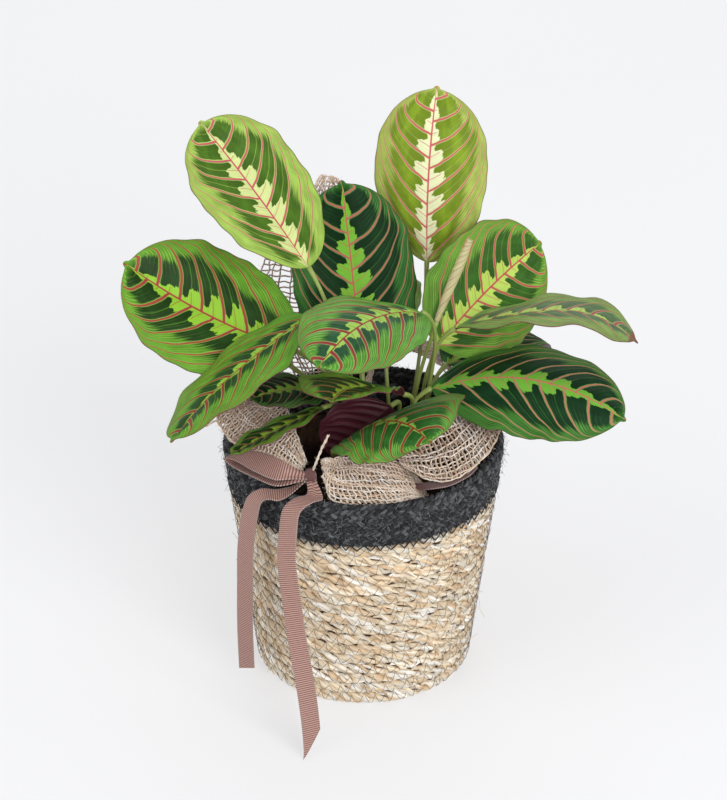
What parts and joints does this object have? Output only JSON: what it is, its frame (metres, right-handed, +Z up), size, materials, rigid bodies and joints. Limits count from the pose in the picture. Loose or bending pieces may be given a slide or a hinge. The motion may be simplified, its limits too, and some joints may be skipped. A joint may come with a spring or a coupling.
{
  "type": "potted prayer plant in a straw basket",
  "caption": "Prayer plant with broad patterned leaves in a soil-filled pot, inside a tapered coiled straw basket with a dark jute rim, dressed with open jute mesh and a ribbon bow.",
  "frame": {"origin": "centre of the basket's underside, on the surface it stands on", "axes": "+Z up along the basket's axis; the bow and the drooping leaves face -Y, +X is the viewer's right"},
  "size_m": [0.3085, 0.23, 0.3303],
  "materials": {
    "straw": "coiled twists of dry straw and husk, cream to tan, sewn with fine thread",
    "dyed_jute": "plaited jute dyed charcoal, hairy",
    "pot_plastic": "thin moulded plastic, satin",
    "soil": "moist crumbly peat",
    "stalk": "smooth fleshy stalk, olive green",
    "young_leaf": "lime green blade with olive blotches, pale feathered middle and rose veins, soft gloss",
    "leaf": "mid green blade with dark blotches, lime feathered middle and red veins, soft gloss",
    "old_leaf": "dark green blade with a bright green feathered middle and red veins, maroon underside",
    "jute_mesh": "open weave of natural jute yarn",
    "grosgrain": "cross-ribbed ribbon, dusky mauve brown"
  },
  "bodies": {
    "root": {"straw_basket": "straw", "rim_band": "dyed_jute", "nursery_pot": "pot_plastic", "soil": "soil", "left_shoot": "stalk", "back_shoot": "stalk", "right_shoot": "stalk", "front_shoot": "stalk", "low_shoot": "stalk", "leaf_top_left": "young_leaf", "leaf_top_right": "young_leaf", "leaf_right": "young_leaf", "leaf_left": "leaf", "leaf_left_drooping": "leaf", "leaf_front": "leaf", "leaf_far_right": "leaf", "leaf_front_low": "leaf", "leaf_over_rim": "leaf", "leaf_small_left": "leaf", "leaf_back": "leaf", "leaf_centre": "old_leaf", "leaf_low_right": "old_leaf", "leaf_turned_over": "old_leaf", "leaf_shaded_left": "old_leaf", "leaf_back_right": "old_leaf", "leaf_back_left": "old_leaf", "rolled_leaf": "young_leaf", "mesh_left_loop": "jute_mesh", "mesh_front_loop": "jute_mesh", "mesh_right_loop": "jute_mesh", "mesh_back_right": "jute_mesh", "mesh_back_left": "jute_mesh", "mesh_back_tail": "jute_mesh", "bow_left_loop": "grosgrain", "bow_right_loop": "grosgrain", "tail_short": "grosgrain", "tail_long": "grosgrain", "bow_knot": "grosgrain"}
  },
  "joints": []
}
